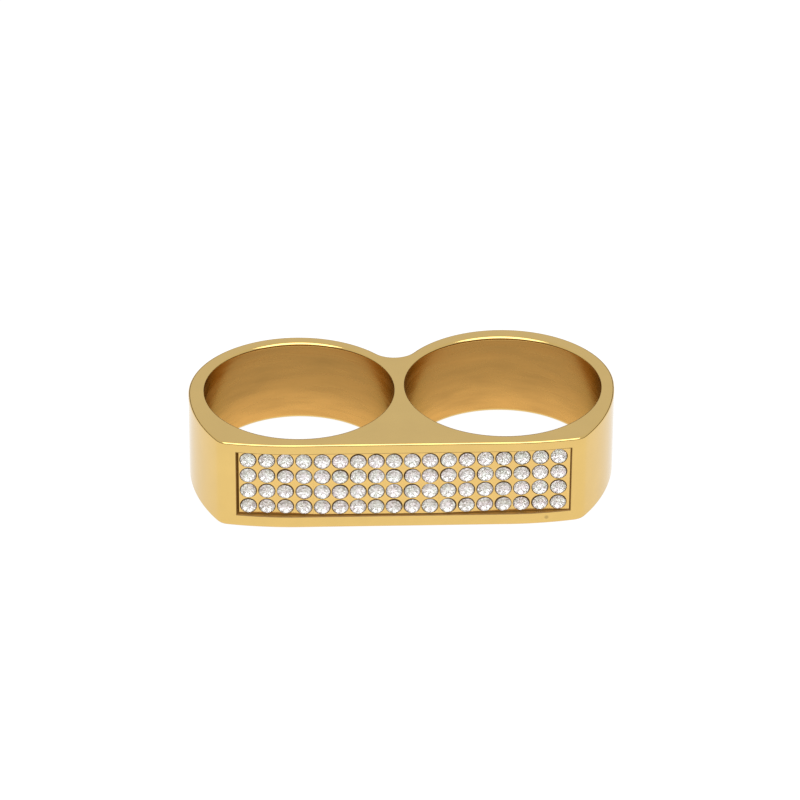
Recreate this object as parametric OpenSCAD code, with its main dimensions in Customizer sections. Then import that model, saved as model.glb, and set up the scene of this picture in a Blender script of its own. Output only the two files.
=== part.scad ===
// Two finger ring lying on its lower side face, with both finger holes upright.
// X runs across the two fingers, the flat front faces -Y, Z is up through the holes.
// The origin is at the middle of the lower side face's bounding box. Millimetres.

/* [Finger holes] */
// Diameter of the left finger hole
left_d = 19; // [16:0.1:22]
// Diameter of the right finger hole
right_d = 19.7; // [16:0.1:22]
// Metal left between the two holes where they come closest
web = 1; // [0.8:0.1:2.4]

/* [Walls] */
// Metal in front of both holes, from hole to flat face
front_wall = 1.56; // [1.4:0.02:3]
// Left round: wall at its outer end
left_end_wall = 1.54; // [1.1:0.02:2]
// Left round: wall at the back
left_back_wall = 1.28; // [1.1:0.02:2]
// Left round: wall on the shoulder that leads into the notch
left_notch_wall = 1.22; // [1.1:0.02:1.8]
// Right round: wall at its outer end
right_end_wall = 1.32; // [1.1:0.02:2]
// Right round: wall at the back
right_back_wall = 1.6; // [1.1:0.02:2]
// Right round: wall on the shoulder that leads into the notch
right_notch_wall = 1.36; // [1.1:0.02:1.8]
// Radius of the hollow between the two rounds at the back
notch_r = 2.4; // [1:0.1:5]

/* [Front and sides] */
// Height of the band at the front
front_h = 9.7; // [7:0.1:12]
// Height of the band at the back
back_h = 8.85; // [6:0.05:12]
// Radius of each side, from the end of the round to the front corner
side_r = 18.1; // [16:0.1:40]
// Radius by which the front falls back beyond each hole's centre
front_end_r = 36; // [26:1:90]

/* [Pocket] */
// Plain border above the pocket
border_top = 1.1; // [0.6:0.05:1.8]
// Plain border below the pocket
border_bottom = 1.35; // [0.6:0.05:1.8]
// Plain border between the left front corner and the pocket
border_left = 1.65; // [1:0.05:3]
// Plain border between the right front corner and the pocket
border_right = 1.15; // [1:0.05:3]
// How far the tiles' faces lie below the front at the left end of the row
recess_left = 0.3; // [0.1:0.02:0.4]
// How far the tiles' faces lie below the front at the right end of the row
recess_right = 0.14; // [0.1:0.02:0.4]

/* [Tiles] */
// Thickness of a tile
tile_t = 0.65; // [0.6:0.05:0.8]
// Open joint at the left end of the row of tiles
joint_left = 0.22; // [0.05:0.01:0.4]
// Open joint at the right end of the row of tiles
joint_right = 0.1; // [0.05:0.01:0.4]
// Open joint above and below the tiles
joint_side = 0.09; // [0.05:0.01:0.2]
// Seam between two tiles
seam = 0.08; // [0.06:0.01:0.2]
// Plain strip with no stones at the right end of the last tile
end_strip = 0.2; // [0:0.05:1]
// Clearance between a tile's back and the pocket's floor
floor_gap = 0.05; // [0.02:0.01:0.1]

/* [Stones] */
// Diameter of a stone over its girdle
stone_d = 1.5; // [1.2:0.05:2.2]
// Height of a stone from its flat back to its table
stone_h = 0.56; // [0.45:0.01:0.7]
// Height of the straight girdle above the flat back
girdle_h = 0.4; // [0.2:0.01:0.42]
// Table's width as a share of the stone's diameter
table_share = 0.54; // [0.4:0.02:0.7]
// Least space from stone to stone
stone_gap = 0.25; // [0.2:0.05:1]
// Depth of a seat below the tile's face
seat_depth = 0.38; // [0.35:0.01:0.5]
// Clearance round a stone in its seat
seat_clear = 0.06; // [0.03:0.01:0.08]
// Clearance under a stone's flat back
back_clear = 0.02; // [0.01:0.01:0.05]

/* [Hidden] */

// Where each tile begins and ends, as shares of the row's whole length
TILE_ENDS = [0, 0.224, 0.604, 1];
LAST_TILE = len(TILE_ENDS) - 2;

GOLD = "#D4AF5E";
PALE_GOLD = "#DDBB6C";
CLEAR_STONE = "#E6E8EE";

ROUND_FN = 180;
SEAT_FN = 36;
PAST = 1;         // how far a cutter runs past the face that it cuts
LIFT = 0.2;       // how far the front block reaches up into the two rounds
BITE = 0.003;     // how far blended arcs run past each other, so that they cross
FACETS = 8;       // table corners, and half the corners of the girdle

// Plan of the two holes: both are equally far from the front
left_r = left_d / 2;
right_r = right_d / 2;
hole_spacing = left_r + web + right_r;
front_y = -(left_r + front_wall);
left_hole = [-hole_spacing / 2, 0];
right_hole = [hole_spacing / 2, right_r - left_r];

// A round is a disc of radius hole + spare, moved off the hole's centre so that its wall
// has the three stated thicknesses: at the end, at the back and halfway to the notch
function spare(end_w, back_w, notch_w) = notch_w - (back_w - end_w) * sin(45);
left_spare = spare(left_end_wall, left_back_wall, left_notch_wall);
right_spare = spare(right_end_wall, right_back_wall, right_notch_wall);
left_round_r = left_r + left_spare;
right_round_r = right_r + right_spare;
left_round = left_hole + [-(left_end_wall - left_spare), left_back_wall - left_spare];
right_round = right_hole + [right_end_wall - right_spare, right_back_wall - right_spare];

// Outer limits in plan
left_x = left_round[0] - left_round_r;
right_x = right_round[0] + right_round_r;
back_y = max(left_round[1] + left_round_r, right_round[1] + right_round_r);
origin_shift = [-(left_x + right_x) / 2, -(front_y + back_y) / 2, 0];

// Where two circles cross: side is 1 for the crossing on the left of the way from a to b
function crossing(a, ra, b, rb, side) =
    let (d = norm(b - a))
    let (along = (ra * ra - rb * rb + d * d) / (2 * d))
    let (off = sqrt(ra * ra - along * along))
    let (u = (b - a) / d)
    a + u * along + [-u[1], u[0]] * off * side;

notch_centre = crossing(left_round, left_round_r + notch_r - BITE,
                        right_round, right_round_r + notch_r - BITE, 1);

// Side arcs meet the rounds at their outermost points, and the front's ends at the corners
left_side_centre = [left_x + side_r + BITE, left_round[1]];
right_side_centre = [right_x - side_r - BITE, right_round[1]];
left_fall_centre = [left_hole[0], front_y + front_end_r - BITE];
right_fall_centre = [right_hole[0], front_y + front_end_r - BITE];
left_corner = crossing(left_side_centre, side_r, left_fall_centre, front_end_r, 1);
right_corner = crossing(right_side_centre, side_r, right_fall_centre, front_end_r, -1);

// The front's Y at any X: level between the holes' centres, and falling back outside them
function front_at(x) =
    let (out = max(0, x - right_hole[0], left_hole[0] - x))
    front_y + front_end_r - sqrt(front_end_r * front_end_r - out * out);

// Pocket and row of tiles
pocket_z0 = border_bottom;
pocket_h = front_h - border_top - border_bottom;
row_x0 = left_corner[0] + border_left + joint_left;
row_x1 = right_corner[0] - border_right - joint_right;
tile_h = pocket_h - 2 * joint_side;

function tile_point(k) =
    let (x = row_x0 + (row_x1 - row_x0) * TILE_ENDS[k])
    let (recess = recess_left + (recess_right - recess_left) * TILE_ENDS[k])
    [x, front_at(x) + recess];
function tile_length(i) = norm(tile_point(i + 1) - tile_point(i));
function tile_way(i) = (tile_point(i + 1) - tile_point(i)) / tile_length(i);
function inward(i) = [-tile_way(i)[1], tile_way(i)[0]];
function stone_run(i) = tile_length(i) - (i == LAST_TILE ? end_strip : 0);

// Corners of the pocket's floor, which runs a little behind the tiles' backs
floor_depth = tile_t + floor_gap;
function floor_point(k) =
    k == 0 ? tile_point(k) - tile_way(0) * joint_left + inward(0) * floor_depth
    : k > LAST_TILE ? tile_point(k) + tile_way(LAST_TILE) * joint_right + inward(LAST_TILE) * floor_depth
    : tile_point(k) + (inward(k - 1) + inward(k)) * floor_depth / (1 + inward(k - 1) * inward(k));

// Stones fill each tile evenly, as many as the least spacing allows
least_pitch = stone_d + stone_gap;
function columns(i) = floor(stone_run(i) / least_pitch);
rows = floor(tile_h / least_pitch);
row_pitch = tile_h / rows;
seat_r = stone_d / 2 + seat_clear;
top_slope = (back_h - front_h) / (back_y - front_y);

module front_block() {
    rise = [0, LIFT];
    difference() {
        polygon([[left_x - PAST, left_round[1]] + rise, left_round + rise,
                 right_round + rise, [right_x + PAST, right_round[1]] + rise,
                 [right_x + PAST, front_y], [left_x - PAST, front_y]]);
        outside_arc(left_side_centre, side_r, left_x - 2 * PAST, left_hole[0]);
        outside_arc(right_side_centre, side_r, right_hole[0], right_x + 2 * PAST);
        outside_arc(left_fall_centre, front_end_r, left_x - 2 * PAST, left_hole[0]);
        outside_arc(right_fall_centre, front_end_r, right_hole[0], right_x + 2 * PAST);
    }
}

// What lies outside a circle between x0 and x1, from before the front to the rounds
module outside_arc(centre, r, x0, x1) {
    y0 = front_y - PAST;
    y1 = max(left_round[1], right_round[1]) + LIFT + PAST;
    difference() {
        translate([x0, y0])
            square([x1 - x0, y1 - y0]);
        translate(centre)
            circle(r = r, $fn = 4 * ROUND_FN);
    }
}

module notch_fill() {
    difference() {
        polygon([left_round, [0, front_y / 2], right_round, notch_centre]);
        translate(notch_centre)
            circle(r = notch_r, $fn = ROUND_FN);
    }
}

// Front block, notch and both rounds, raised past the sloping top
module band_blank() {
    blank_h = front_h + PAST;
    linear_extrude(height = blank_h)
        front_block();
    linear_extrude(height = blank_h)
        notch_fill();
    upright(left_round, left_round_r, 0, blank_h);
    upright(right_round, right_round_r, 0, blank_h);
}

// A round bar or bore, upright at a place in plan, from z0 to z1
module upright(centre, r, z0, z1) {
    translate([centre[0], centre[1], z0])
        cylinder(r = r, h = z1 - z0, $fn = ROUND_FN);
}

// Everything under the band's top, which slopes down from front to back
module under_top() {
    y0 = front_y - PAST;
    y1 = back_y + PAST;
    translate([left_x - PAST, 0, 0])
        rotate([90, 0, 90])
        linear_extrude(height = right_x - left_x + 2 * PAST)
        polygon([[y0, 0], [y1, 0], [y1, back_h + top_slope * PAST],
                 [y0, front_h - top_slope * PAST]]);
}

// The pocket, open at the front
module pocket() {
    out = floor_depth + max(recess_left, recess_right) + PAST;
    floor_plan = [for (k = [0 : LAST_TILE + 1]) floor_point(k)];
    translate([0, 0, pocket_z0])
        linear_extrude(height = pocket_h)
        polygon(concat([floor_point(0) - inward(0) * out], floor_plan,
                       [floor_point(LAST_TILE + 1) - inward(LAST_TILE) * out]));
}

module band() {
    color(GOLD)
        translate(origin_shift)
        difference() {
            intersection() {
                band_blank();
                under_top();
            }
            upright(left_hole, left_r, -PAST, front_h + PAST);
            upright(right_hole, right_r, -PAST, front_h + PAST);
            pocket();
        }
}

// Places its children on tile i: X along the tile, Y into the band, Z up
module on_tile(i) {
    start = tile_point(i);
    way = tile_way(i);
    translate([start[0], start[1], 0])
        rotate([0, 0, atan2(way[1], way[0])])
        children();
}

// Places its children at the mouth of each seat of tile i, with Z out of the tile
module at_seats(i) {
    pitch = stone_run(i) / columns(i);
    for (column = [0 : columns(i) - 1], row = [0 : rows - 1])
        translate([(column + 0.5) * pitch, 0, pocket_z0 + joint_side + (row + 0.5) * row_pitch])
            rotate([90, 0, 0])
            children();
}

module tile(i) {
    before = i == 0 ? 0 : seam / 2;
    after = i == LAST_TILE ? 0 : seam / 2;
    color(PALE_GOLD)
        translate(origin_shift)
        on_tile(i)
        difference() {
            translate([before, 0, pocket_z0 + joint_side])
                cube([tile_length(i) - before - after, tile_t, tile_h]);
            at_seats(i)
                translate([0, 0, -seat_depth])
                cylinder(r = seat_r, h = seat_depth + PAST, $fn = SEAT_FN);
        }
}

module tile_left() {
    tile(0);
}

module tile_middle() {
    tile(1);
}

module tile_right() {
    tile(2);
}

// Corners of a regular ring of n points at height z, turned by a share of one step
function ring(n, r, z, turn) =
    [for (k = [0 : n - 1]) [r * cos(360 * (k + turn) / n), r * sin(360 * (k + turn) / n), z]];

// A flat-backed cut stone: octagonal table, 8 long kites and 8 triangles down to the
// girdle, a straight girdle of 16 sides and a flat back
module stone() {
    sides = 2 * FACETS;
    table = ring(FACETS, stone_d * table_share / 2, stone_h, 0);
    girdle = ring(sides, stone_d / 2, girdle_h, 0);
    back = ring(sides, stone_d / 2, 0, 0);
    g = FACETS;
    b = FACETS + sides;
    polyhedron(
        points = concat(table, girdle, back),
        faces = concat(
            [[for (k = [FACETS - 1 : -1 : 0]) k]],
            [for (k = [0 : FACETS - 1]) [k, g + 2 * k, g + (2 * k + sides - 1) % sides]],
            [for (k = [0 : FACETS - 1]) [k, g + 2 * k + 1, g + 2 * k]],
            [for (k = [0 : FACETS - 1]) [k, (k + 1) % FACETS, g + 2 * k + 1]],
            [for (k = [0 : sides - 1]) [g + k, g + (k + 1) % sides, b + (k + 1) % sides, b + k]],
            [[for (k = [0 : sides - 1]) b + k]]));
}

module stones() {
    color(CLEAR_STONE)
        translate(origin_shift)
        for (i = [0 : LAST_TILE])
            on_tile(i)
            at_seats(i)
            translate([0, 0, back_clear - seat_depth])
            stone();
}

band();
tile_left();
tile_middle();
tile_right();
stones();
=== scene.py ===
# %% [markdown]
# A ring for two neighbouring fingers, lying on its side on a pale table. It is one
# casting of gold-toned steel with two round finger holes and a long shallow pocket in
# its bowed front. Three thin tiles lie in the pocket, and each carries rows of small
# round cut stones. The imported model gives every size. It could be shown as it is, with
# better materials, but its edges are sharp and its curves are short chords. So this
# script reads its outlines and builds the same forms again with rounded edges, cut seats
# and faceted stones, because polished metal is only as good as the edges that catch the
# light.

# %% The frame
import math
import random

import bmesh
import bpy
import numpy as np
from mathutils import Matrix, Vector


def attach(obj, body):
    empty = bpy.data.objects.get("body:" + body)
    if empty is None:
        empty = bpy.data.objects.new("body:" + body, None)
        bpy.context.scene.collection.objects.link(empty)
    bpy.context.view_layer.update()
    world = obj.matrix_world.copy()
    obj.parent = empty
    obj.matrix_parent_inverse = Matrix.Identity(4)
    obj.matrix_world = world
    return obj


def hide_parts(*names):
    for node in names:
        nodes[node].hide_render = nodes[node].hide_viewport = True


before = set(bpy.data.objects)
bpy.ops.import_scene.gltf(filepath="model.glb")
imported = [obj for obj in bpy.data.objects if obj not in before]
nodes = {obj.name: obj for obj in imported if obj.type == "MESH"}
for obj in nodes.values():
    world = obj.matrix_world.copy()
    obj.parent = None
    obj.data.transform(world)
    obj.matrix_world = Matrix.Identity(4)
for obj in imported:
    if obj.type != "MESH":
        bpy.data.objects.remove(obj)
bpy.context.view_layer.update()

MM = 0.001

# %% [markdown]
# The camera comes first, because every later choice is judged through it. The ring is
# seen from the front and well above, through a long lens, so that its two holes show as
# calm ellipses. A camera could be placed by hand and shifted until the ring fits. Here it
# hangs on a line through an aim point instead: turn it, tip it, roll it, then move it
# back. The aim point is the picture's middle, so no lens shift is needed.

# %% The camera
AIM = Vector((0.022, 4.468, 4.85)) * MM
VIEW_TURN = math.radians(2.198)
VIEW_DROP = math.radians(32.024)
VIEW_ROLL = math.radians(0.364)
VIEW_DISTANCE = 501.53 * MM
LENS_MM = 223.25
SENSOR_MM = 36


def placed(name, data):
    """A new object in the scene, at the origin and unturned."""
    made = bpy.data.objects.new(name, data)
    bpy.context.scene.collection.objects.link(made)
    return made


camera_data = bpy.data.cameras.new("camera")
camera_data.sensor_width = SENSOR_MM
camera_data.lens = LENS_MM
camera = placed("camera", camera_data)
camera.matrix_world = (
    Matrix.Translation(AIM)
    @ Matrix.Rotation(-VIEW_TURN, 4, "Z")
    @ Matrix.Rotation(math.pi / 2 - VIEW_DROP, 4, "X")
    @ Matrix.Rotation(VIEW_ROLL, 4, "Z")
    @ Matrix.Translation((0, 0, VIEW_DISTANCE))
)
bpy.context.scene.camera = camera
print("camera at", [round(v / MM, 1) for v in camera.matrix_world.translation], "mm")

# %% [markdown]
# Every finish on the ring is worked out by shader nodes, with no picture files. They
# could be wired one by one in the editor. A few small helpers do it here: a wire is named
# by its two sockets, and a constant is set on the socket itself, which keeps each
# material short to read. Patterns follow the object's own coordinates, so they stay on
# the metal when it turns.

# %% Helpers for materials
NOISE_MIDDLE = (0.3, 0.7)
MIX_A, MIX_B, MIX_RESULT = 6, 7, 2


def new_material(name):
    material = bpy.data.materials.new(name)
    material.use_nodes = True
    tree = material.node_tree
    shader = tree.nodes["Principled BSDF"]
    return material, tree, shader


def add_node(tree, kind, settings=None, values=None):
    node = tree.nodes.new(kind)
    for name, value in (settings or {}).items():
        setattr(node, name, value)
    for name, value in (values or {}).items():
        node.inputs[name].default_value = value
    return node


def wire(tree, source, out_name, target, in_name):
    tree.links.new(source.outputs[out_name], target.inputs[in_name])


def place_pattern(tree, stretch):
    """Object coordinates in metres, stretched along each axis."""
    place = add_node(tree, "ShaderNodeTexCoord")
    mapping = add_node(tree, "ShaderNodeMapping", values={"Scale": stretch})
    wire(tree, place, "Object", mapping, "Vector")
    return mapping


def noise(tree, stretch, detail=2.0):
    mapping = place_pattern(tree, stretch)
    texture = add_node(tree, "ShaderNodeTexNoise", values={"Scale": 1.0, "Detail": detail})
    wire(tree, mapping, "Vector", texture, "Vector")
    return texture


def spread(tree, source, low, high):
    """Turns a noise's middle range, where most of its values lie, into low to high."""
    ranged = add_node(tree, "ShaderNodeMapRange", values={
        "From Min": NOISE_MIDDLE[0], "From Max": NOISE_MIDDLE[1], "To Min": low, "To Max": high})
    wire(tree, source, "Fac", ranged, "Value")
    return ranged


def mix_colours(tree, share, share_out, colours=()):
    """Mixes two colours by another node's output. A Mix node's colour sockets go by number."""
    mix = add_node(tree, "ShaderNodeMix", {"data_type": "RGBA"})
    wire(tree, share, share_out, mix, "Factor")
    for socket, colour in zip((MIX_A, MIX_B), colours):
        mix.inputs[socket].default_value = colour
    return mix


print("material helpers ready")

# %% [markdown]
# Gold-toned steel is a metal shader with a warm colour. One flat colour would look like
# plastic. What makes it look real is small: the roughness changes a little from place to
# place where the polishing wheel pressed more or less, the colour drifts with it, and a
# very low swell in the surface keeps reflections from being ruler straight. Stretching
# the noise along an axis turns it from even wear into marks that run one way. A tint for
# flat angles keeps far edges from mirroring the pale room.

# %% One gold finish
COAT_ROUGH = 0.05


def shade_of(colour, share):
    return (*(c * share for c in colour), 1.0)


def gold_finish(name, colour, rough, stretch, swell, swell_stretch, lacquer=0.0,
                drift=(0.94, 1.03), edge_tint=(1.0, 1.0, 1.0), metallic=1.0):
    """A gold-toned metal: rough is its least and most roughness, swell its bump in metres."""
    material, tree, shader = new_material(name)
    shader.inputs["Metallic"].default_value = metallic
    shader.inputs["Coat Weight"].default_value = lacquer
    shader.inputs["Specular Tint"].default_value = (*edge_tint, 1.0)
    shader.inputs["Coat Roughness"].default_value = COAT_ROUGH
    wear = noise(tree, stretch)
    ranged = spread(tree, wear, *rough)
    wire(tree, ranged, "Result", shader, "Roughness")
    tone = mix_colours(tree, wear, "Fac", [shade_of(colour, share) for share in drift])
    wire(tree, tone, MIX_RESULT, shader, "Base Color")
    wave = noise(tree, swell_stretch, detail=1.0)
    bump = add_node(tree, "ShaderNodeBump", values={"Strength": 1.0, "Distance": swell})
    wire(tree, wave, "Fac", bump, "Height")
    wire(tree, bump, "Normal", shader, "Normal")
    return material


print("one recipe for five gold finishes")

# %% [markdown]
# Outside, the metal is mirror polished under a thin clear lacquer. Inside the finger holes it is
# satin, with short marks that run round the wall, and the wall is painted lighter low down, a
# painted reflection of the pale table that shines in. The lower border has one tiny pit, which is
# not modelled: its shade is painted as a dark spot. Both are shares that multiply the base colour.
# Painting them by hand would need a picture file, and a height or a distance from a point gives the
# same.

# %% Shares that darken or lighten a finish
# Place, size and darkness of the painted shade of a small pit that is not modelled.
PIT_PLACE = Vector((13.99, -11.22, 0.76)) * MM
PIT_R = 0.3 * MM
PIT_FLOOR = 0.3 * PIT_R
PIT_SHADE_SHARE = 0.70
LIT_TO = 5 * MM
LIT_SHARES = (1.5, 0.98)


def shaded_by(material, share):
    """Multiplies a finish's base colour by the value that share(tree) gives."""
    tree = material.node_tree
    shader = tree.nodes["Principled BSDF"]
    colour = shader.inputs["Base Color"].links[0].from_socket
    scale = add_node(tree, "ShaderNodeVectorMath", {"operation": "SCALE"})
    tree.links.new(colour, scale.inputs[0])
    tree.links.new(share(tree), scale.inputs["Scale"])
    wire(tree, scale, "Vector", shader, "Base Color")


def ranged_value(tree, value, low, high, at_low, at_high):
    ranged = add_node(tree, "ShaderNodeMapRange", {"interpolation_type": "SMOOTHSTEP"}, {
        "From Min": low, "From Max": high, "To Min": at_low, "To Max": at_high})
    tree.links.new(value, ranged.inputs["Value"])
    return ranged.outputs["Result"]


# Painted reflection: the bore's base colour is made lighter low down, where the pale table shines
# in.
def painted_table_shine_low_down(tree):
    place = add_node(tree, "ShaderNodeTexCoord")
    split = add_node(tree, "ShaderNodeSeparateXYZ")
    wire(tree, place, "Object", split, "Vector")
    return ranged_value(tree, split.outputs["Z"], 0.0, LIT_TO, *LIT_SHARES)


# Painted shade: a dark spot in the base colour stands for the shade in a small pit that is not
# modelled.
def painted_pit_shade(tree):
    place = add_node(tree, "ShaderNodeTexCoord")
    far = add_node(tree, "ShaderNodeVectorMath", {"operation": "DISTANCE"})
    wire(tree, place, "Object", far, 0)
    far.inputs[1].default_value = PIT_PLACE
    return ranged_value(tree, far.outputs["Value"], PIT_FLOOR, PIT_R, PIT_SHADE_SHARE, 1.0)


print("pit of", round(PIT_R / MM, 2), "mm at", [round(v / MM, 2) for v in PIT_PLACE])

# %% Outside, bores and tiles
polished = gold_finish(
    "polished gold", (0.75, 0.51, 0.165), rough=(0.07, 0.12), stretch=(420, 420, 420),
    swell=0.004 * MM, swell_stretch=(160, 160, 160), lacquer=0.3, edge_tint=(0.90, 0.88, 0.84))
# The polished finish gets the painted shade of the pit.
shaded_by(polished, painted_pit_shade)

satin = gold_finish(
    "satin bore", (0.44, 0.242, 0.066), rough=(0.20, 0.34), stretch=(200, 200, 1000),
    swell=0.01 * MM, swell_stretch=(200, 200, 1600), drift=(0.72, 1.28),
    edge_tint=(0.60, 0.58, 0.48))
# The satin bore gets the painted reflection of the table low down.
shaded_by(satin, painted_table_shine_low_down)

tile_gold = gold_finish(
    "tile gold", (0.80, 0.53, 0.18), rough=(0.12, 0.24), stretch=(900, 900, 900),
    swell=0.01 * MM, swell_stretch=(900, 900, 900))
print("bright finishes:", [m.name for m in (polished, satin, tile_gold)])

# %% [markdown]
# The gap along the pocket's edge and the seats round the stones are narrow and lie in shade. Light
# bounces in such places more often than a renderer follows, and a clean gold would go black there.
# More bounces would cost much time, so these two finishes are a duller metal whose dark brown
# colour is painted shade. They also have a faint brown glow, painted light which stands for the
# lost bounces.

# %% Narrow places
GAP_METAL = 0.4
POCKET_GLOW = (0.075, 0.034, 0.005)
SEAT_GLOW = (0.035, 0.018, 0.006)


def glows_faintly(material, colour):
    shader = material.node_tree.nodes["Principled BSDF"]
    shader.inputs["Emission Color"].default_value = (*colour, 1.0)
    shader.inputs["Emission Strength"].default_value = 1.0


# Painted shade: the pocket's dark brown colour stands for the shade in the narrow gap.
pocket_painted_shade = gold_finish(
    "pocket painted shade", (0.17, 0.09, 0.02), rough=(0.35, 0.5), stretch=(900, 900, 900),
    swell=0.004 * MM, swell_stretch=(1500, 1500, 1500), metallic=GAP_METAL)
glows_faintly(pocket_painted_shade, POCKET_GLOW)

# Painted shade: the seats' dark brown colour stands for the shade round each stone.
seat_painted_shade = gold_finish(
    "seat painted shade", (0.10, 0.055, 0.02), rough=(0.4, 0.5), stretch=(900, 900, 900),
    swell=0.004 * MM, swell_stretch=(1500, 1500, 1500), metallic=GAP_METAL)
glows_faintly(seat_painted_shade, SEAT_GLOW)
print("dark finishes:", pocket_painted_shade.name, "and", seat_painted_shade.name)

# %% [markdown]
# The stones are clear glass with a silver foil behind, as small set stones often are.
# Light enters through the crown, strikes the foil and leaves again through another
# facet. Glass over a mirror gives this by itself, but in a pale room every facet would
# mirror the same white. So each facet of the foil carries its own shade between a dark
# and a light silver, and a slow drift from pink to green keeps the stones from being
# twins. A faint glow stands for the light that stays in the stone.

# %% Stone finishes
STONE_IOR = 1.55
STONE_ROUGH = 0.015
FOIL_METAL = 0.6
FOIL_ROUGH = 0.08
FOIL_DRIFT = (1100, 1100, 1100)
FOIL_GLOW = (0.062, 0.048, 0.026)
DARK_SILVERS = ((0.50, 0.44, 0.49, 1.0), (0.46, 0.50, 0.45, 1.0))
LIGHT_SILVERS = ((1.0, 0.93, 0.98, 1.0), (0.94, 1.0, 0.95, 1.0))


def clear_glass():
    material, tree, shader = new_material("clear stone")
    shader.inputs["Base Color"].default_value = (1.0, 1.0, 1.0, 1.0)
    shader.inputs["Roughness"].default_value = STONE_ROUGH
    shader.inputs["IOR"].default_value = STONE_IOR
    shader.inputs["Transmission Weight"].default_value = 1.0
    return material


def silver_foil():
    """The mesh gives each facet's shade as a value named shade, from 0, dark, to 1, light."""
    material, tree, shader = new_material("silver foil")
    shader.inputs["Metallic"].default_value = FOIL_METAL
    shader.inputs["Roughness"].default_value = FOIL_ROUGH
    facet = add_node(tree, "ShaderNodeAttribute", {"attribute_name": "shade"})
    drift = spread(tree, noise(tree, FOIL_DRIFT), 0.0, 1.0)
    dark = mix_colours(tree, drift, "Result", DARK_SILVERS)
    light = mix_colours(tree, drift, "Result", LIGHT_SILVERS)
    tone = mix_colours(tree, facet, "Fac")
    wire(tree, dark, MIX_RESULT, tone, MIX_A)
    wire(tree, light, MIX_RESULT, tone, MIX_B)
    wire(tree, tone, MIX_RESULT, shader, "Base Color")
    return material


stone_glass = clear_glass()
stone_foil = silver_foil()
glows_faintly(stone_foil, FOIL_GLOW)
print("stone finishes:", stone_glass.name, "and", stone_foil.name)

# %% [markdown]
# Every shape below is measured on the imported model. Sizes could be typed in again, but
# then the two models would drift apart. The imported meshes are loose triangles, so a copy
# is merged first. Then a set of faces, such as the flat lower side, has border edges that
# can be walked round, and each closed walk is one outline of the ring.

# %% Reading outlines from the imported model
SAME_POINT = 0.002 * MM


def merged_copy(node):
    bm = bmesh.new()
    bm.from_mesh(nodes[node].data)
    bmesh.ops.remove_doubles(bm, verts=bm.verts, dist=SAME_POINT)
    bm.normal_update()
    return bm


def border_loops(bm, wanted):
    """Closed loops of points, in mm, round the faces that wanted() picks."""
    faces = {f for f in bm.faces if wanted(f)}
    beside = {}
    for edge in bm.edges:
        if sum(f in faces for f in edge.link_faces) == 1:
            a, b = edge.verts
            beside.setdefault(a, []).append(b)
            beside.setdefault(b, []).append(a)
    loops = []
    left = set(beside)
    while left:
        loop = [left.pop()]
        here = beside[loop[0]][0]
        while here is not loop[0]:
            left.discard(here)
            loop.append(here)
            here = next(v for v in beside[here] if v is not loop[-2])
        loops.append(np.array([v.co for v in loop]) / MM)
    return loops


def area_of(points):
    x, y = points[:, 0], points[:, 1]
    return 0.5 * float(np.sum(x * np.roll(y, -1) - np.roll(x, -1) * y))


band_mesh = merged_copy("band")
lower_loops = border_loops(band_mesh, lambda f: max(v.co.z for v in f.verts) < SAME_POINT)
lower_loops.sort(key=lambda points: -abs(area_of(points)))
outer_raw = lower_loops[0][:, :2]
hole_raw = sorted((points[:, :2] for points in lower_loops[1:]), key=lambda p: p[:, 0].mean())
if area_of(outer_raw) < 0:
    outer_raw = outer_raw[::-1]
print("outline points:", len(outer_raw), "and holes:", [len(points) for points in hole_raw])

# %% [markdown]
# The side faces slope a little: the ring is higher at the front than at the back. A
# straight line through the corner heights of the upper side gives its height anywhere.
# The pocket shows as two more levels of corners between the lower and the upper side.

# %% Heights and the pocket's corners
UPPER_FROM = 8.7
LOOKS_UP = 0.9
SAME_MM = 0.01

upper_faces = [f for f in band_mesh.faces
               if f.normal.z > LOOKS_UP and f.calc_center_median().z > UPPER_FROM * MM]
upper = np.array([v.co for f in upper_faces for v in f.verts]) / MM
slope, height_at_middle = np.polyfit(upper[:, 1], upper[:, 2], 1)


def top_at(y):
    return height_at_middle + slope * y


levels = {round(v.co.z / MM, 2) for v in band_mesh.verts if SAME_MM < v.co.z / MM < UPPER_FROM}
pocket_z0, pocket_z1 = min(levels), max(levels)
low_corners = {(round(v.co.x / MM, 4), round(v.co.y / MM, 4)) for v in band_mesh.verts
               if abs(v.co.z / MM - pocket_z0) < SAME_MM}
pocket_plan = np.array(sorted(low_corners))
print("upper side:", round(top_at(upper[:, 1].min()), 2), "to", round(top_at(upper[:, 1].max()), 2))
print("pocket from z", pocket_z0, "to", pocket_z1, "with", len(pocket_plan), "corners in plan")

# %% [markdown]
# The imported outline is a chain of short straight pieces. Seen in a mirror finish those
# would show as facets, so each piece is filled in with a curve that leaves and arrives
# along the outline's own direction. Long pieces are truly straight and stay so. The two
# front corners are sharp, and each gets a small round of its own.

# %% Smooth outlines
CORNER_TURN = math.radians(20)
STRAIGHT_MM = 4.0
STEP_MM = 0.3
CORNER_CUT = 0.8
CORNER_PULL = 0.9
CORNER_STEPS = 12


def unit(v):
    return v / np.linalg.norm(v, axis=-1, keepdims=True)


def directions(points):
    """The outline's direction at each point, as a circle through its neighbours has it."""
    after = np.roll(points, -1, 0) - points
    before = np.roll(after, 1, 0)
    long_after = np.linalg.norm(after, axis=1)[:, None]
    long_before = np.roll(long_after, 1, 0)
    way = unit(before) * long_after + unit(after) * long_before
    way = np.where(long_before > STRAIGHT_MM, before, way)
    way = np.where(long_after > STRAIGHT_MM, after, way)
    return unit(way)


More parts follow.
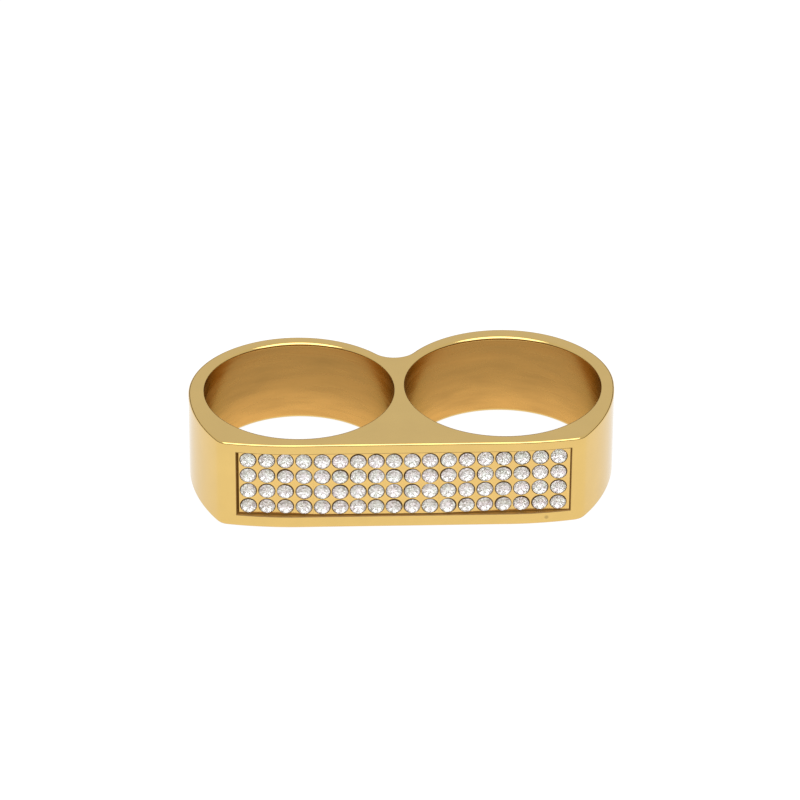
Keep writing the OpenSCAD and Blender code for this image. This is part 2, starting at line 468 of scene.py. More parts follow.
def filled_in(points):
    """The same outline with curves between its points, and a round at each sharp corner."""
    count = len(points)
    chords = np.roll(points, -1, 0) - points
    ways = unit(chords)
    turns = np.arccos(np.clip((ways * np.roll(ways, 1, 0)).sum(1), -1, 1))
    sharp = turns > CORNER_TURN
    smooth = directions(points)
    full = []
    for i in range(count):
        j = (i + 1) % count
        chord = ways[i]
        leave, arrive = smooth[i], smooth[j]
        if sharp[i]:
            leave = 2 * (chord @ arrive) * chord - arrive
        if sharp[j]:
            arrive = 2 * (chord @ leave) * chord - leave
        length = float(np.linalg.norm(chords[i]))
        steps = max(1, math.ceil(length / STEP_MM))
        for s in np.arange(steps) / steps:
            full.append((
                (2 * s**3 - 3 * s**2 + 1) * points[i] + (s**3 - 2 * s**2 + s) * length * leave
                + (3 * s**2 - 2 * s**3) * points[j] + (s**3 - s**2) * length * arrive))
    full = np.array(full)
    for corner in points[sharp]:
        full = round_corner(full, corner)
    return full


def round_corner(points, corner):
    """Cuts the outline near a corner and bridges it with a small curve."""
    far = np.linalg.norm(points - corner, axis=1)
    start = int(np.argmin(far))
    points = np.roll(points, -start, 0)
    far = np.roll(far, -start)
    kept = points[far > CORNER_CUT]
    arrive = unit(corner - kept[-1])
    leave = unit(kept[0] - corner)
    a = corner - arrive * CORNER_CUT * CORNER_PULL
    b = corner + leave * CORNER_CUT * CORNER_PULL
    shares = np.linspace(0, 1, CORNER_STEPS)[:, None]
    curve = (1 - shares)**2 * a + 2 * shares * (1 - shares) * corner + shares**2 * b
    return np.vstack([kept, curve])


outer = filled_in(outer_raw)
print("outline now has", len(outer), "points, area", round(area_of(outer), 2), "square mm")

# %% [markdown]
# The finger holes are true circles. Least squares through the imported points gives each
# centre and radius. Hole outlines run the other way round from the outer one, so that
# the same rule, a quarter turn to the right of the way, always points out of the metal.

# %% Round finger holes
HOLE_STEPS = 240


def fit_circle(points):
    rows = np.column_stack([2 * points, np.ones(len(points))])
    cx, cy, rest = np.linalg.lstsq(rows, (points**2).sum(1), rcond=None)[0]
    return np.array([cx, cy]), math.sqrt(rest + cx * cx + cy * cy)


def hole_outline(centre, radius):
    angles = -2 * np.pi * np.arange(HOLE_STEPS) / HOLE_STEPS
    return centre + radius * np.column_stack([np.cos(angles), np.sin(angles)])


holes = [fit_circle(points) for points in hole_raw]
print("finger holes:", [(round(c[0], 2), round(c[1], 2), round(r, 3)) for c, r in holes])

# %% [markdown]
# A wall is lofted from an outline: each row of points is the outline moved a little into
# the metal and set at a height. Quarter circle steps at the bottom and at the top round
# the edges. A bevel modifier could round them too, but it would not know which edges are
# real and which only join chords. The rims of the finger holes are rounded more at the
# front and the back, where they catch a bright line, and hardly at the sides, so that the
# thin web between the holes keeps its flat top.

# %% Walls with rounded edges
EDGE_R = 0.25
BASE_R = 0.3
RIM_R = 0.4
RIM_SIDE_R = 0.05
ARC_STEPS = 5
UP = unit(np.array([0.0, -slope, 1.0]))
DOWN = np.array([0.0, 0.0, -1.0])
POLISHED, SATIN, POCKET = 0, 1, 2


def outward(points):
    way = directions(points)
    return np.column_stack([way[:, 1], -way[:, 0]])


def wall_rows(points, low_r, high_r, levels=()):
    """Rows of points and of their normals, from the lower face to the upper one."""
    out = outward(points)
    level_out = np.column_stack([out, np.zeros(len(out))])
    high_r = np.broadcast_to(high_r, len(points))
    rows = []
    for angle in np.linspace(0, math.pi / 2, ARC_STEPS):
        ring = points - out * low_r * (1 - math.sin(angle))
        heights = np.full(len(ring), low_r * (1 - math.cos(angle)))
        normals = level_out * math.sin(angle) + DOWN * math.cos(angle)
        rows.append((np.column_stack([ring, heights]), normals))
    for level in levels:
        rows.append((np.column_stack([points, np.full(len(points), level)]), level_out))
    for angle in np.linspace(0, math.pi / 2, ARC_STEPS):
        ring = points - out * (high_r * (1 - math.cos(angle)))[:, None]
        heights = top_at(ring[:, 1]) - high_r * (1 - math.sin(angle))
        normals = level_out * math.cos(angle) + UP * math.sin(angle)
        rows.append((np.column_stack([ring, heights]), normals))
    return rows


def rim_radius(points, centre):
    """A hole's upper rim is rounded most at its front and back, and least at its sides."""
    share = unit(points - centre)[:, 1]**2
    return RIM_SIDE_R + (RIM_R - RIM_SIDE_R) * share


def loft(bm, rows, wall_material=POLISHED, left_out=lambda row, i: False):
    """Adds the rows' points and the faces between them. Rounded edges are always polished."""
    own_normal = bm.verts.layers.float_vector["own normal"]
    grid = []
    for places, normals in rows:
        grid.append([bm.verts.new(Vector(p) * MM) for p in places])
        for vert, normal in zip(grid[-1], normals):
            vert[own_normal] = normal
    count = len(grid[0])
    wall = range(ARC_STEPS - 1, len(rows) - ARC_STEPS)
    for r in range(len(grid) - 1):
        for i in range(count):
            if left_out(r, i):
                continue
            j = (i + 1) % count
            face = bm.faces.new((grid[r][i], grid[r][j], grid[r + 1][j], grid[r + 1][i]))
            face.material_index = wall_material if r in wall else POLISHED
            face.smooth = True
    return grid


def cap(bm, loops, up):
    """Fills the flat face between an outline and the holes in it."""
    edges = []
    for loop in loops:
        for i in range(len(loop)):
            edges.append(bm.edges.get((loop[i - 1], loop[i])))
    made = bmesh.ops.triangle_fill(bm, edges=edges, use_beauty=True)["geom"]
    for face in (g for g in made if isinstance(g, bmesh.types.BMFace)):
        face.normal_update()
        if (face.normal.z > 0) != up:
            face.normal_flip()
        face.smooth = True


print("wall rows in a loft:", len(wall_rows(outer, BASE_R, EDGE_R, (1, 2))))

# %% [markdown]
# The pocket is a window left open in the front wall. Its lip is rounded by three small
# steps, its sides run straight in, and its floor lies just behind the tiles. The tiles
# are flat and meet at slight angles, so the floor is a chain of straight stretches
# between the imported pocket's inner corners.

# %% The pocket's place along the outline
LIP_R = 0.07
LIP_STEPS = 4
FLOOR_MARGIN = 0.4
FRONT_SHARE = 0.75
NEAR_FRONT = FRONT_SHARE * outer_raw[:, 1].min()


def front_at(x):
    front = outer[outer[:, 1] < NEAR_FRONT]
    front = front[np.argsort(front[:, 0])]
    return np.interp(x, front[:, 0], front[:, 1])


behind = pocket_plan[:, 1] - front_at(pocket_plan[:, 0])
floor_plan = pocket_plan[behind > FLOOR_MARGIN]
mouth_plan = pocket_plan[behind <= FLOOR_MARGIN]
mouth_x0, mouth_x1 = mouth_plan[:, 0].min(), mouth_plan[:, 0].max()


def snap_to(points, x):
    """Moves the front's nearest point to an exact X, along the front."""
    on_front = np.where(points[:, 1] < NEAR_FRONT)[0]
    nearest = on_front[np.argmin(abs(points[on_front, 0] - x))]
    points[nearest] = (x, front_at(x))
    return nearest


mouth_left = snap_to(outer, mouth_x0 - LIP_R)
mouth_right = snap_to(outer, mouth_x1 + LIP_R)
if mouth_left > mouth_right:
    outer = np.roll(outer, -mouth_left, 0)
    mouth_right = (mouth_right - mouth_left) % len(outer)
    mouth_left = 0
print("mouth from x", round(mouth_x0, 2), "to", round(mouth_x1, 2))
print("corners along the pocket's floor:", len(floor_plan))

# %% [markdown]
# Now the band can be put together in one mesh: the outer wall with its window, the two
# bores, the flat sides between them, and the pocket behind the window. Each part shares
# its border points with the next, so the result is one closed skin with no open edge.

# %% The band
SHARP_EDGE = math.radians(35)


def pocket_inside(bm, grid, row):
    """Lip, sides and floor of the pocket, hung on the window's border points."""
    out = outward(outer)
    span = range(mouth_left, mouth_right + 1)
    low = [grid[row][i] for i in span]
    high = [grid[row + 1][i] for i in span]
    rings = [low + high[::-1]]
    for angle in np.linspace(0, math.pi / 2, LIP_STEPS)[1:]:
        rest = LIP_R * (1 - math.sin(angle))
        depth = LIP_R * (1 - math.cos(angle))
        rings.append(pocket_ring(bm, span, rest, lambda p, i: p - out[i] * depth))
    rings.append(pocket_ring(bm, span, 0.0, lambda p, i: np.array([p[0], floor_at(p[0])])))
    for near, far in zip(rings, rings[1:]):
        count = len(near)
        for i in range(count):
            j = (i + 1) % count
            face = bm.faces.new((near[j], near[i], far[i], far[j]))
            face.material_index = POCKET
            face.smooth = True
    floor = rings[-1]
    for i in range(len(low) - 1):
        face = bm.faces.new((floor[i], floor[i + 1], floor[-2 - i], floor[-1 - i]))
        face.material_index = POCKET


def floor_at(x):
    return np.interp(x, floor_plan[:, 0], floor_plan[:, 1])


def pocket_ring(bm, span, rest, moved):
    """One closed ring of the pocket: rest is how far its ends and edges still stand out."""
    low, high = [], []
    last = len(span) - 1
    for k, i in enumerate(span):
        p = outer[i].copy()
        p[0] += (LIP_R - rest) * ((k == 0) - (k == last))
        p = moved(p, i)
        low.append(bm.verts.new(Vector((p[0], p[1], pocket_z0 - rest)) * MM))
        high.append(bm.verts.new(Vector((p[0], p[1], pocket_z1 + rest)) * MM))
    return low + high[::-1]


def build_band():
    bm = bmesh.new()
    bm.verts.layers.float_vector.new("own normal")
    rows = wall_rows(outer, BASE_R, EDGE_R, (pocket_z0 - LIP_R, pocket_z1 + LIP_R))
    window = ARC_STEPS
    mouth = range(mouth_left, mouth_right)
    grid = loft(bm, rows, left_out=lambda row, i: row == window and i in mouth)
    lower, higher = [grid[0]], [grid[-1]]
    for centre, radius in holes:
        outline = hole_outline(centre, radius)
        rows = wall_rows(outline, BASE_R, rim_radius(outline, centre))
        bore = loft(bm, rows, wall_material=SATIN)
        lower.append(bore[0])
        higher.append(bore[-1])
    cap(bm, lower, up=False)
    cap(bm, higher, up=True)
    pocket_inside(bm, grid, window)
    return bm


def piece_from(bm, name, materials, sharp=SHARP_EDGE):
    """A new object from a bmesh, smooth except at edges that turn more than sharp."""
    mesh = bpy.data.meshes.new(name)
    bm.to_mesh(mesh)
    mesh.set_sharp_from_angle(angle=sharp)
    for material in materials:
        mesh.materials.append(material)
    return placed(name, mesh)


band_bm = build_band()
open_edges = sum(not edge.is_manifold for edge in band_bm.edges)
band = piece_from(band_bm, "band_polished", [polished, satin, pocket_painted_shade])
print("band faces:", len(band_bm.faces), "open edges:", open_edges)
print("volume in cubic mm:", round(band_bm.calc_volume() / MM**3, 1))

# %% [markdown]
# A rounded edge next to a wide flat face needs one more thing. Smooth shading averages
# the directions of the faces round a point, and in a mirror finish that bends the flat
# face's reflections near its border. The exact direction is known for each point of the
# walls and was stored with it, so the mesh is told to use it. The pocket's points have
# none and keep the average.

# %% Flat faces that stay flat
def use_own_normals(mesh):
    stored = mesh.attributes["own normal"]
    normals = np.zeros(3 * len(mesh.vertices), dtype=np.float32)
    stored.data.foreach_get("vector", normals)
    mesh.attributes.remove(stored)
    mesh.normals_split_custom_set_from_vertices(normals.reshape(-1, 3))


use_own_normals(band.data)
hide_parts("band")
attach(band, "root")
print("band rides on root")

# %% [markdown]
# Each tile is a flat plate whose place is read from its own lower corners: where it
# starts, which way it runs and how thick it is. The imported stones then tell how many
# columns and rows it carries and how far apart they are.

# %% Where tiles and stones lie
def tile_frame(node):
    """A tile's start, way, length, thickness and heights, in mm."""
    bm = merged_copy(node)
    points = np.array([v.co for v in bm.verts]) / MM
    low, high = points[:, 2].min(), points[:, 2].max()
    corners = np.unique(points[points[:, 2] < low + SAME_MM][:, :2].round(4), axis=0)
    corners = corners[np.argsort(corners[:, 0])]
    left, right = corners[:2], corners[-2:]
    start, back = left[np.argsort(left[:, 1])]
    end = right[np.argmin(right[:, 1])]
    bm.free()
    return {
        "start": start, "way": unit(end - start), "low": low, "high": high,
        "length": float(np.linalg.norm(end - start)),
        "thick": float(np.linalg.norm(back - start)),
    }


def loose_middles(node):
    """The middle of each loose solid of a node, in mm."""
    bm = merged_copy(node)
    left = set(bm.verts)
    middles = []
    while left:
        group, found = [left.pop()], []
        while group:
            vert = group.pop()
            found.append(vert.co.copy())
            for edge in vert.link_edges:
                other = edge.other_vert(vert)
                if other in left:
                    left.discard(other)
                    group.append(other)
        box = np.array(found)
        middles.append((box.min(0) + box.max(0)) / 2 / MM)
    bm.free()
    return np.array(middles)


TILES = ["tile_left", "tile_middle", "tile_right"]
tiles = {name: tile_frame(name) for name in TILES}
stone_middles = loose_middles("stones")
for name, tile in tiles.items():
    along = (stone_middles[:, :2] - tile["start"]) @ tile["way"]
    mine = (along > 0) & (along < tile["length"])
    heights = stone_middles[mine, 2]
    tile["rows"] = len(np.unique(heights.round(2)))
    tile["columns"] = int(mine.sum() / tile["rows"])
    tile["span_x"] = (along[mine].min(), along[mine].max())
    tile["span_z"] = (heights.min(), heights.max())
    tile["pitch_x"] = (tile["span_x"][1] - tile["span_x"][0]) / (tile["columns"] - 1)
    tile["pitch_z"] = (tile["span_z"][1] - tile["span_z"][0]) / (tile["rows"] - 1)
    print(name, tile["columns"], "columns by", tile["rows"], "rows, pitch",
          round(tile["pitch_x"], 3), "by", round(tile["pitch_z"], 3))

# %% [markdown]
# Seats and stones repeat in rows, so Geometry Nodes lays them out. A loop in Python could
# do that too, but a tree shows its sizes as named inputs that can be turned by hand. It
# makes a grid of points, shifts each point a little, copies one part to every point with
# a small random turn and tilt, and makes the copies real. The seed is fixed, so each run
# gives the same ring. Part of a copy may take a second material: its faces carry a mark,
# and the last node reads it.

# %% The tree that sets parts in rows
TREE_INPUTS = [
    ("Columns", "NodeSocketInt"), ("Rows", "NodeSocketInt"),
    ("Column pitch", "NodeSocketFloat"), ("Row pitch", "NodeSocketFloat"),
    ("Part", "NodeSocketObject"),
    ("Least turn", "NodeSocketVector"), ("Most turn", "NodeSocketVector"),
    ("Least shift", "NodeSocketVector"), ("Most shift", "NodeSocketVector"),
    ("Seed", "NodeSocketInt"),
    ("Material", "NodeSocketMaterial"), ("Marked material", "NodeSocketMaterial"),
]


def build_rows_tree():
    tree = bpy.data.node_groups.new("parts in rows", "GeometryNodeTree")
    for name, kind in TREE_INPUTS:
        tree.interface.new_socket(name, in_out="INPUT", socket_type=kind)
    tree.interface.new_socket("Geometry", in_out="OUTPUT", socket_type="NodeSocketGeometry")
    given = add_node(tree, "NodeGroupInput")
    result = add_node(tree, "NodeGroupOutput")
    grid = add_node(tree, "GeometryNodeMeshGrid")
    for count, pitch, side, across in (("Columns", "Column pitch", "Vertices X", "Size X"),
                                       ("Rows", "Row pitch", "Vertices Y", "Size Y")):
        fewer = add_node(tree, "ShaderNodeMath", {"operation": "SUBTRACT"}, {1: 1.0})
        size = add_node(tree, "ShaderNodeMath", {"operation": "MULTIPLY"})
        wire(tree, given, count, fewer, 0)
        wire(tree, fewer, 0, size, 0)
        wire(tree, given, pitch, size, 1)
        wire(tree, given, count, grid, side)
        wire(tree, size, 0, grid, across)
    shift = add_node(tree, "FunctionNodeRandomValue", {"data_type": "FLOAT_VECTOR"})
    turn = add_node(tree, "FunctionNodeRandomValue", {"data_type": "FLOAT_VECTOR"})
    for random_value, what in ((shift, "shift"), (turn, "turn")):
        wire(tree, given, "Least " + what, random_value, 0)
        wire(tree, given, "Most " + what, random_value, 1)
        wire(tree, given, "Seed", random_value, "Seed")
    moved = add_node(tree, "GeometryNodeSetPosition")
    wire(tree, grid, "Mesh", moved, "Geometry")
    wire(tree, shift, 0, moved, "Offset")
    turned = add_node(tree, "FunctionNodeEulerToRotation")
    wire(tree, turn, 0, turned, 0)
    part = add_node(tree, "GeometryNodeObjectInfo", values={"As Instance": True})
    wire(tree, given, "Part", part, "Object")
    copies = add_node(tree, "GeometryNodeInstanceOnPoints")
    wire(tree, moved, "Geometry", copies, "Points")
    wire(tree, part, "Geometry", copies, "Instance")
    wire(tree, turned, "Rotation", copies, "Rotation")
    real = add_node(tree, "GeometryNodeRealizeInstances")
    wire(tree, copies, "Instances", real, "Geometry")
    plain = add_node(tree, "GeometryNodeSetMaterial")
    wire(tree, real, "Geometry", plain, "Geometry")
    wire(tree, given, "Material", plain, "Material")
    mark = add_node(
        tree, "GeometryNodeInputNamedAttribute", {"data_type": "BOOLEAN"}, {"Name": "marked"})
    marked = add_node(tree, "GeometryNodeSetMaterial")
    wire(tree, plain, "Geometry", marked, "Geometry")
    wire(tree, mark, "Attribute", marked, "Selection")
    wire(tree, given, "Marked material", marked, "Material")
    wire(tree, marked, "Geometry", result, "Geometry")
    return tree


rows_tree = build_rows_tree()
inputs = [item for item in rows_tree.interface.items_tree if item.in_out == "INPUT"]
sockets = {item.name: item.identifier for item in inputs}
print("tree inputs:", list(sockets))

# %% Running the tree to a plain mesh
def set_in_rows(name, **values):
    """Runs the tree with these inputs on a helper object, and returns a plain mesh."""
    helper = placed("rows helper", bpy.data.meshes.new("rows helper"))
    modifier = helper.modifiers.new("rows", "NODES")
    modifier.node_group = rows_tree
    for key, value in values.items():
        modifier[sockets[key.replace("_", " ").capitalize()]] = value
    bpy.context.view_layer.update()
    evaluated = helper.evaluated_get(bpy.context.evaluated_depsgraph_get())
    mesh = bpy.data.meshes.new_from_object(evaluated)
    mesh.name = name
    bpy.data.objects.remove(helper)
    return mesh


def middle_of(tile):
    """How far the middle of a tile's stones is along the tile, and how high, in mm."""
    return sum(tile["span_x"]) / 2, sum(tile["span_z"]) / 2


def tile_matrix(tile):
    """From the middle of a tile's stones, with X along it and Z out of its face, to the ring."""
    middle_x, middle_z = middle_of(tile)
    way = tile["way"]
    place = tile["start"] + way * middle_x
    return Matrix((
        (way[0], 0, way[1], place[0] * MM),
        (way[1], 0, -way[0], place[1] * MM),
        (0, 1, 0, middle_z * MM),
        (0, 0, 0, 1)))


left_face = tile_matrix(tiles["tile_left"]).col[2]
print("left tile's face looks along", [round(v, 3) for v in left_face[:3]])

# %% [markdown]
# One seat is a square piece of the tile's face with a round hole in it: from the square border
# inwards to a small chamfer, down the wall and across the floor. Border points are evenly spaced
# along each side, so that neighbouring seats share theirs and can be welded. Copying such a cell is
# simpler and cleaner than cutting holes. Chamfer, wall and floor are marked for the dull brown of
# painted shade, which gives each stone its dark outline.

# %% One seat
SEAT_R = 0.825
SEAT_DEPTH = 0.38
SEAT_CHAMFER = 0.03
CHAMFER_KNEE = 0.3
SEAT_SIDES = 32


def square_border(width, height):
    """Evenly spaced points round a rectangle, from its right upper corner anticlockwise."""
    per_side = SEAT_SIDES // 4
    corners = np.array([(width, height), (-width, height), (-width, -height), (width, -height)]) / 2
    points = []
    for k in range(4):
        for s in range(per_side):
            points.append(corners[k] + (corners[(k + 1) % 4] - corners[k]) * s / per_side)
    return points


def ring_points(radius, height, sides, first=0.0):
    return [(radius * math.cos(first + 2 * math.pi * k / sides),
             radius * math.sin(first + 2 * math.pi * k / sides), height) for k in range(sides)]


def skin_rings(bm, rings, marked_from):
    """Faces between rings of equal length and across the last one, marked from one ring on."""
    mark = bm.faces.layers.bool.new("marked")
    made = [[bm.verts.new(Vector(p) * MM) for p in ring] for ring in rings]
    for r, (outer_ring, inner_ring) in enumerate(zip(made, made[1:])):
        count = len(outer_ring)
        for i in range(count):
            j = (i + 1) % count
            face = bm.faces.new((outer_ring[i], outer_ring[j], inner_ring[j], inner_ring[i]))
            face[mark] = r >= marked_from
    bm.faces.new(made[-1])[mark] = True


def seat_part(name, pitch_x, pitch_z):
    bm = bmesh.new()
    knee = SEAT_CHAMFER * CHAMFER_KNEE
    steps = [(SEAT_CHAMFER, 0.0), (knee, -knee), (0.0, -SEAT_CHAMFER), (0.0, -SEAT_DEPTH)]
    rings = [[(p[0], p[1], 0.0) for p in square_border(pitch_x, pitch_z)]]
    for wider, height in steps:
        rings.append(ring_points(SEAT_R + wider, height, SEAT_SIDES, first=math.pi / 4))
    skin_rings(bm, rings, marked_from=1)
    part = piece_from(bm, name, [])
    bm.free()
    return part


print("a seat has", SEAT_SIDES, "sides and is", 2 * SEAT_R, "mm wide")

# %% [markdown]
# A whole tile is its seats welded together. The border points are moved out to the
# tile's own edges, which leaves the plain strip at the right end, and then the border is
# drawn back by the tile's thickness and closed behind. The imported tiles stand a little
# apart, and here they are drawn out until their seams nearly close. Only small turns are
# smoothed, so that the face stays flat in a mirror finish.

# %% The tiles
NO_VARIATION = (0.0, 0.0, 0.0)
TILE_SEED = 1
SEAM_LEFT = 0.007
TILE_SHARP_EDGE = math.radians(15)

for tile in tiles.values():
    tile["longer"] = [0.0, 0.0]
for name, next_name in zip(TILES, TILES[1:]):
    end = tiles[name]["start"] + tiles[name]["way"] * tiles[name]["length"]
    seam = float(np.linalg.norm(tiles[next_name]["start"] - end))
    tiles[name]["longer"][1] = tiles[next_name]["longer"][0] = (seam - SEAM_LEFT) / 2


def close_tile(mesh, tile):
    bm = bmesh.new()
    bm.from_mesh(mesh)
    bmesh.ops.remove_doubles(bm, verts=bm.verts, dist=SAME_POINT)
    border = [edge for edge in bm.edges if edge.is_boundary]
    middle_x, middle_z = middle_of(tile)
    edges_x = (-middle_x - tile["longer"][0], tile["length"] - middle_x + tile["longer"][1])
    edges_z = (tile["low"] - middle_z, tile["high"] - middle_z)
    verts = {v for edge in border for v in edge.verts}
    far_x = max(v.co.x for v in verts)
    far_z = max(v.co.y for v in verts)
    for v in verts:
        if far_x - abs(v.co.x) < SAME_POINT:
            v.co.x = edges_x[v.co.x > 0] * MM
        if far_z - abs(v.co.y) < SAME_POINT:
            v.co.y = edges_z[v.co.y > 0] * MM
    drawn = bmesh.ops.extrude_edge_only(bm, edges=border)["geom"]
    back = {g for g in drawn if isinstance(g, bmesh.types.BMVert)}
    for v in back:
        v.co.z = -tile["thick"] * MM
    back_edges = [g for g in drawn
                  if isinstance(g, bmesh.types.BMEdge) and back.issuperset(g.verts)]
    bmesh.ops.triangle_fill(bm, edges=back_edges, use_beauty=True)
    bmesh.ops.recalc_face_normals(bm, faces=bm.faces)
    for face in bm.faces:
        face.smooth = True
    bm.to_mesh(mesh)
    closed = all(edge.is_manifold for edge in bm.edges)
    bm.free()
    mesh.set_sharp_from_angle(angle=TILE_SHARP_EDGE)
    return closed


for name in TILES:
    tile = tiles[name]
    seat = seat_part("seat of " + name, tile["pitch_x"], tile["pitch_z"])
    mesh = set_in_rows(
        name, Columns=tile["columns"], Rows=tile["rows"], Column_pitch=tile["pitch_x"] * MM,
        Row_pitch=tile["pitch_z"] * MM, Part=seat, Least_turn=NO_VARIATION, Most_turn=NO_VARIATION,
        Least_shift=NO_VARIATION, Most_shift=NO_VARIATION, Seed=TILE_SEED,
        Material=tile_gold, Marked_material=seat_painted_shade)
    bpy.data.objects.remove(seat)
    closed = close_tile(mesh, tile)
    mesh.transform(tile_matrix(tile))
    plate = placed(name.replace("tile", "tile_plate"), mesh)
    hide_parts(name)
    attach(plate, "root")
    print(plate.name, "has", len(mesh.polygons), "faces, closed:", closed)

# %% [markdown]
# A round cut stone has a flat eight-sided table on top, a star of eight small triangles
# round it, eight kites and sixteen slim triangles down to the girdle. Heights follow from
# one rule: each kite is flat, so the height of its side corners is set by the plane from
# the table to the girdle. Under the girdle lies the foil. One smooth cone would give all
# stones the same calm picture, so it is made of rings of small mirrors that step down to
# a point. Each mirror has a shade of its own, and one in four is darker than the rest.

# %% One cut stone
STONE_R = 0.77
STONE_TOP = 0.56
TABLE_R = 0.405
STAR_R = 0.58
GIRDLE_LOW = 0.36
GIRDLE_HIGH = 0.40
FOIL_RINGS = [(0.56, 0.30), (0.30, 0.21)]
FOIL_TIP = 0.16
FOIL_STEP = 0.04
TABLE_SIDES = 8
GIRDLE_SIDES = 2 * TABLE_SIDES
FACET_SEED = 5
DARKER_ONE_IN = 4.0


def cut_stone():
    bm = bmesh.new()
    mark = bm.faces.layers.bool.new("marked")
    shade = bm.faces.layers.float.new("shade")
    step = math.pi / TABLE_SIDES
    fall = (STONE_TOP - GIRDLE_HIGH) / (STONE_R - TABLE_R)
    star_height = GIRDLE_HIGH + fall * (STONE_R - STAR_R * math.cos(step))

    def ring(radius, height, sides, first=0.0):
        return [bm.verts.new(Vector(p) * MM) for p in ring_points(radius, height, sides, first)]

    table = ring(TABLE_R, STONE_TOP, TABLE_SIDES)
    star = ring(STAR_R, star_height, TABLE_SIDES, step)
    girdle = ring(STONE_R, GIRDLE_HIGH, GIRDLE_SIDES)
    base = ring(STONE_R, GIRDLE_LOW, GIRDLE_SIDES)
    foils = [base]
    for radius, height in FOIL_RINGS:
        foils.append(ring(radius, height, GIRDLE_SIDES))
        for vert in foils[-1][::2]:
            vert.co.z -= FOIL_STEP * MM
    tip = bm.verts.new((0, 0, FOIL_TIP * MM))
    bm.faces.new(table)
    low_faces = []
    for k in range(TABLE_SIDES):
        n = (k + 1) % TABLE_SIDES
        g0, g1, g2 = 2 * k, 2 * k + 1, 2 * n
        bm.faces.new((table[k], star[k], table[n]))
        bm.faces.new((table[k], star[k - 1], girdle[g0], star[k]))
        bm.faces.new((star[k], girdle[g0], girdle[g1]))
        bm.faces.new((star[k], girdle[g1], girdle[g2]))
    for k in range(GIRDLE_SIDES):
        n = (k + 1) % GIRDLE_SIDES
        bm.faces.new((girdle[k], base[k], base[n], girdle[n]))
        for near, far in zip(foils, foils[1:]):
            low_faces.append(bm.faces.new((near[k], near[n], far[n])))
            low_faces.append(bm.faces.new((near[k], far[n], far[k])))
        low_faces.append(bm.faces.new((foils[-1][k], foils[-1][n], tip)))
    chance = random.Random(FACET_SEED)
    for face in low_faces:
        face[mark] = True
        face[shade] = min(1.0, DARKER_ONE_IN * chance.random())
    bmesh.ops.recalc_face_normals(bm, faces=bm.faces)
    part = piece_from(bm, "one stone", [], sharp=0.0)
    bm.free()
    return part


stone = cut_stone()
print("one stone has", len(stone.data.polygons), "facets")

# %% [markdown]
# The same tree sets the stones, this time with life in it: each stone is turned freely
# round its axis, tilted by up to a few degrees and shifted within its seat, because the
# real ones were dropped in by hand. The three fields are joined into one piece.

# %% All the stones
STONE_LIFT = 0.05
MOST_TILT = math.radians(4)
MOST_TURN = math.radians(360)
MOST_SHIFT = 0.02 * MM
STONE_SEEDS = {"tile_left": 3, "tile_middle": 11, "tile_right": 23}

stones_bm = bmesh.new()
for name in TILES:
    tile = tiles[name]
    field = set_in_rows(
        "stones of " + name, Columns=tile["columns"], Rows=tile["rows"],
        Column_pitch=tile["pitch_x"] * MM, Row_pitch=tile["pitch_z"] * MM, Part=stone,
        Least_turn=(-MOST_TILT, -MOST_TILT, 0.0), Most_turn=(MOST_TILT, MOST_TILT, MOST_TURN),
        Least_shift=(-MOST_SHIFT, -MOST_SHIFT, 0.0), Most_shift=(MOST_SHIFT, MOST_SHIFT, 0.0),
        Seed=STONE_SEEDS[name], Material=stone_glass, Marked_material=stone_foil)
    field.transform(tile_matrix(tile) @ Matrix.Translation((0, 0, (STONE_LIFT - SEAT_DEPTH) * MM)))
    stones_bm.from_mesh(field)
marked = stones_bm.faces.layers.bool["marked"]
for face in stones_bm.faces:
    face.material_index = int(face[marked])
stones = piece_from(stones_bm, "cut_stones", [stone_glass, stone_foil], sharp=0.0)
bpy.data.objects.remove(stone)
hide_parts("stones")
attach(stones, "root")
print("stones:", len(stones_bm.faces), "facets in one piece")

# %% [markdown]
# The light is a small product studio. The table is pale and glows, so that nothing under
# the ring goes dark and no shadow shows. The room is a soft pale tent, and a large soft
# box hangs above and in front. With these alone the gold would look like yellow paint. So
# a dim brown cloth stands all round, low down. It isn't seen, but polished metal mirrors
# it as the thin dark lines that give its edges their shape.

# %% The table and the tent
TABLE_HALF = 3.0
TABLE_COLOUR = (0.15, 0.15, 0.15)
TABLE_GLOW = 0.89
TENT_COLOUR = (0.76, 0.77, 0.80)
TENT_BRIGHTNESS = 1.04
MATT = 0.9


def plain_material(name, colour, glow):
    material, tree, shader = new_material(name)
    shader.inputs["Base Color"].default_value = (*colour, 1.0)
    shader.inputs["Roughness"].default_value = MATT
    shader.inputs["Specular IOR Level"].default_value = 0.0
    shader.inputs["Emission Color"].default_value = (1.0, 1.0, 1.0, 1.0)
    shader.inputs["Emission Strength"].default_value = glow
    return material


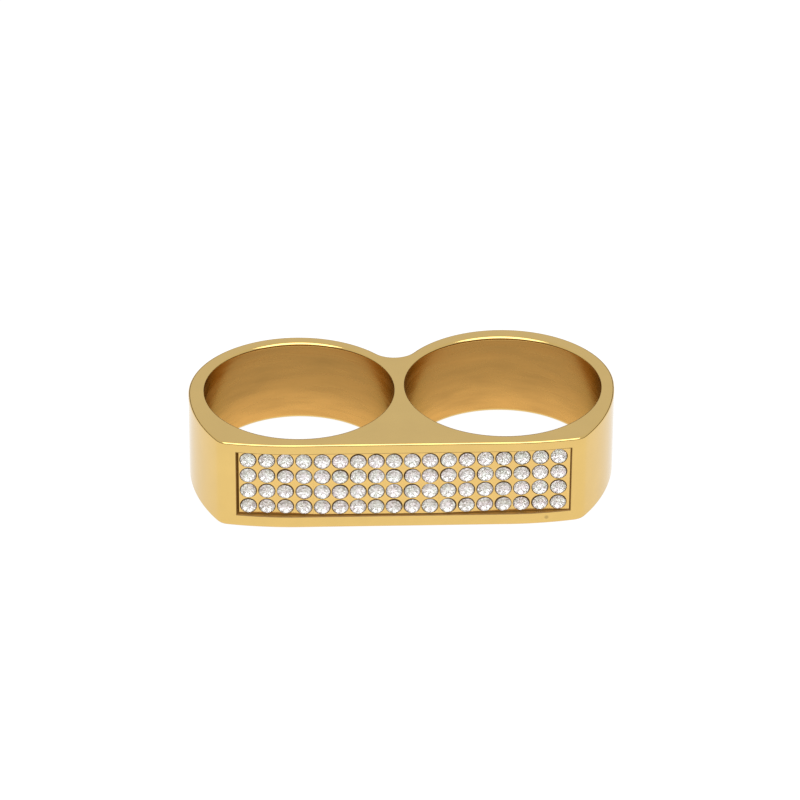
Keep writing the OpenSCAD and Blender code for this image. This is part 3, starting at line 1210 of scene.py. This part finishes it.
def stage_mesh(name, points, faces, material, seen):
    mesh = bpy.data.meshes.new(name)
    mesh.from_pydata(points, [], faces)
    mesh.materials.append(material)
    made = placed(name, mesh)
    made.visible_camera = seen


corners = [(x * TABLE_HALF, y * TABLE_HALF, 0) for x, y in ((-1, -1), (1, -1), (1, 1), (-1, 1))]
pale = plain_material("pale table", TABLE_COLOUR, TABLE_GLOW)
stage_mesh("table", corners, [(0, 1, 2, 3)], pale, seen=True)

world = bpy.data.worlds.new("tent")
bpy.context.scene.world = world
world.use_nodes = True
tent = world.node_tree.nodes["Background"]
tent.inputs["Color"].default_value = (*TENT_COLOUR, 1.0)
tent.inputs["Strength"].default_value = TENT_BRIGHTNESS
print("table and tent ready")

# %% The dark cloth and the soft box
CLOTH_R = 0.9
CLOTH_Z = (0.02, 0.32)
CLOTH_STEPS = 24
CLOTH_COLOUR = (0.18, 0.14, 0.10)
BOX_PLACE = Vector((0.0, -0.50, 0.82))
BOX_SIZE = (1.4, 0.8)
BOX_BRIGHTNESS = 2.6


def cloth_points():
    """Two rows of points all round, low and high."""
    points = []
    for k in range(CLOTH_STEPS + 1):
        angle = 2 * math.pi * k / CLOTH_STEPS - 1.5 * math.pi
        for z in CLOTH_Z:
            points.append((CLOTH_R * math.cos(angle), CLOTH_R * math.sin(angle), z))
    return points


cloth_faces = [(2 * k, 2 * k + 2, 2 * k + 3, 2 * k + 1) for k in range(CLOTH_STEPS)]
dark = plain_material("dark cloth", CLOTH_COLOUR, 0.0)
stage_mesh("dark cloth", cloth_points(), cloth_faces, dark, seen=False)


def soft_box(name, place, size, brightness):
    """An area light that looks at the ring, as bright as a card of this brightness."""
    data = bpy.data.lights.new(name, "AREA")
    data.shape = "RECTANGLE"
    data.size, data.size_y = size
    data.energy = brightness * size[0] * size[1] * math.pi
    light = placed(name, data)
    turn = (-place).to_track_quat("-Z", "Y").to_matrix().to_4x4()
    light.matrix_world = Matrix.Translation(place) @ turn
    light.visible_camera = False


soft_box("soft box above", BOX_PLACE, BOX_SIZE, BOX_BRIGHTNESS)
bpy.context.scene.view_settings.view_transform = "Standard"
print("studio ready")
